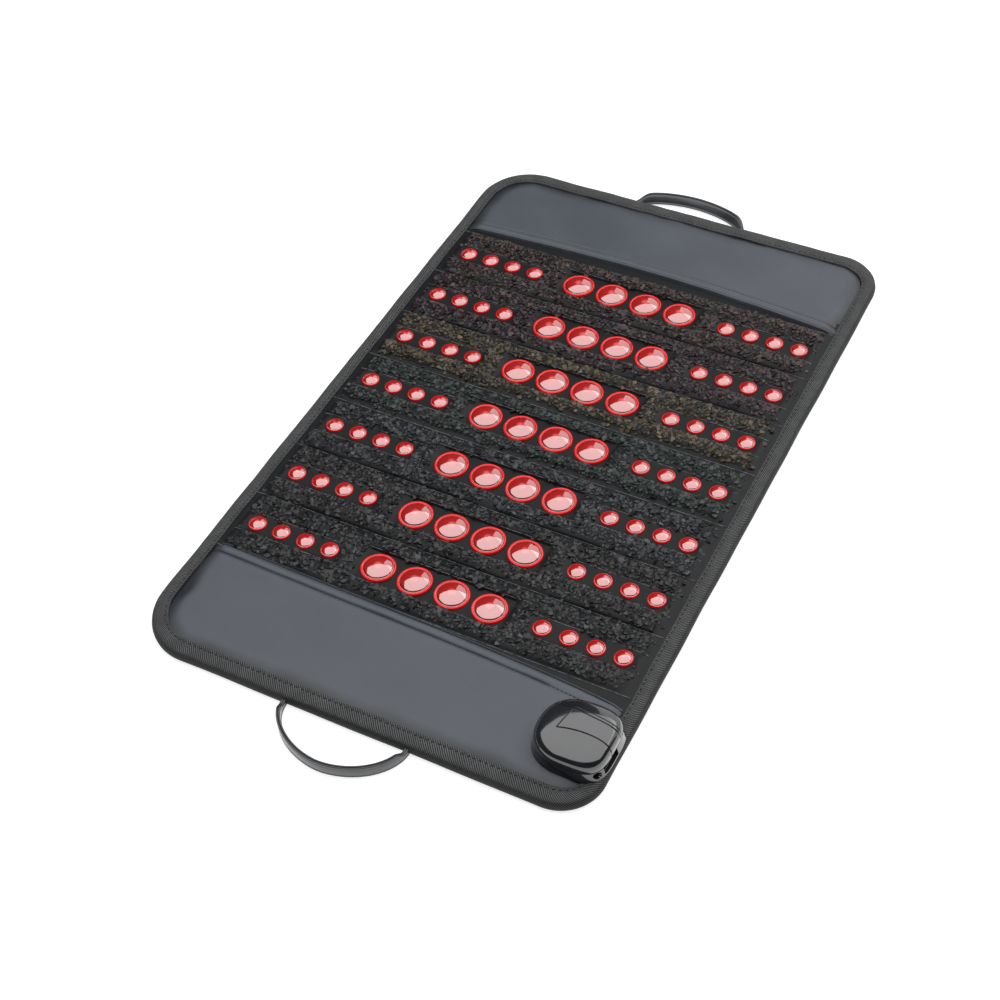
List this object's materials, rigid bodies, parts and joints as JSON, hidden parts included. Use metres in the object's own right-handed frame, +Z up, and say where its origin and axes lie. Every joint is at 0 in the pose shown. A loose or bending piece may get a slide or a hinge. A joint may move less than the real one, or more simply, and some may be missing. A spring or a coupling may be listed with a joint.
{
  "type": "folding gemstone heat mat",
  "caption": "Flat padded heat mat with crushed-stone bands, rows of red lenses, leather end panels, a connector box and loop handles; folds in half",
  "frame": {"origin": "on the floor, under the middle of the mat", "axes": "+X to the right across the mat, +Y to the far end, away from the connector box, +Z up"},
  "size_m": [0.4856, 0.8816, 0.0373],
  "materials": {
    "bottom_cover": "matt woven cloth",
    "insulation": "felt",
    "heating_sheet": "carbon fibre cloth",
    "end_panel": "satin smooth",
    "binding": "woven tape",
    "stone_1": "crushed, under clear film",
    "stone_2": "crushed, under clear film",
    "stone_3": "crushed, under clear film",
    "stone_4": "crushed, under clear film",
    "stone_5": "crushed, under clear film",
    "stone_6": "crushed, under clear film",
    "stone_7": "crushed, under clear film",
    "led_board": "satin",
    "large_lens": "clear red, glossy",
    "small_lens": "clear red, glossy",
    "handle": "satin",
    "connector_shell": "glossy",
    "connector_strip": "glossy",
    "power_socket": "matt",
    "socket_contacts": "bright",
    "connector_board": "satin",
    "power_lead": "matt",
    "thermal_cutout": "satin"
  },
  "bodies": {
    "front_section": {"connector_base": "connector_shell", "connector_board": "connector_board", "connector_lid": "connector_shell", "connector_strip": "connector_strip", "front_binding": "binding", "front_bottom_cover": "bottom_cover", "front_end_panel": "end_panel", "front_heating_sheet": "heating_sheet", "front_insulation": "insulation", "led_board_5": "led_board", "led_board_6": "led_board", "led_board_7": "led_board", "lens_strip_5_centre": "large_lens", "lens_strip_5_left": "small_lens", "lens_strip_5_right": "small_lens", "lens_strip_6_centre": "large_lens", "lens_strip_6_left": "small_lens", "lens_strip_6_right": "small_lens", "lens_strip_7_centre": "large_lens", "lens_strip_7_left": "small_lens", "lens_strip_7_right": "small_lens", "power_lead": "power_lead", "power_socket": "power_socket", "socket_contacts": "socket_contacts", "stone_pocket_5": "stone_5", "stone_pocket_6": "stone_6", "stone_pocket_7": "stone_7", "thermal_cutout": "thermal_cutout"},
    "middle_section": {"led_board_4": "led_board", "lens_strip_4_centre": "large_lens", "lens_strip_4_left": "small_lens", "lens_strip_4_right": "small_lens", "mid_binding_left": "binding", "mid_binding_right": "binding", "mid_bottom_cover": "bottom_cover", "mid_heating_sheet": "heating_sheet", "mid_insulation": "insulation", "stone_pocket_4": "stone_4"},
    "rear_section": {"led_board_1": "led_board", "led_board_2": "led_board", "led_board_3": "led_board", "lens_strip_1_centre": "large_lens", "lens_strip_1_left": "small_lens", "lens_strip_1_right": "small_lens", "lens_strip_2_centre": "large_lens", "lens_strip_2_left": "small_lens", "lens_strip_2_right": "small_lens", "lens_strip_3_centre": "large_lens", "lens_strip_3_left": "small_lens", "lens_strip_3_right": "small_lens", "rear_binding": "binding", "rear_bottom_cover": "bottom_cover", "rear_end_panel": "end_panel", "rear_heating_sheet": "heating_sheet", "rear_insulation": "insulation", "stone_pocket_1": "stone_1", "stone_pocket_2": "stone_2", "stone_pocket_3": "stone_3"},
    "front_handle": {"front_handle": "handle"},
    "rear_handle": {"rear_handle": "handle"}
  },
  "joints": [
    {"name": "front_fold", "type": "hinge", "parent": "front_section", "child": "middle_section", "pos_m": [0, -0.0381, 0.012], "axis": [1, 0, 0], "range_deg": [0, 90]},
    {"name": "rear_fold", "type": "hinge", "parent": "middle_section", "child": "rear_section", "pos_m": [0, 0.0381, 0.012], "axis": [1, 0, 0], "range_deg": [0, 90]},
    {"name": "front_handle_lift", "type": "hinge", "parent": "front_section", "child": "front_handle", "pos_m": [0, -0.4003, 0.0085], "axis": [-1, 0, 0], "range_deg": [0, 90]},
    {"name": "rear_handle_lift", "type": "hinge", "parent": "rear_section", "child": "rear_handle", "pos_m": [0, 0.4003, 0.0085], "axis": [1, 0, 0], "range_deg": [0, 90]}
  ]
}
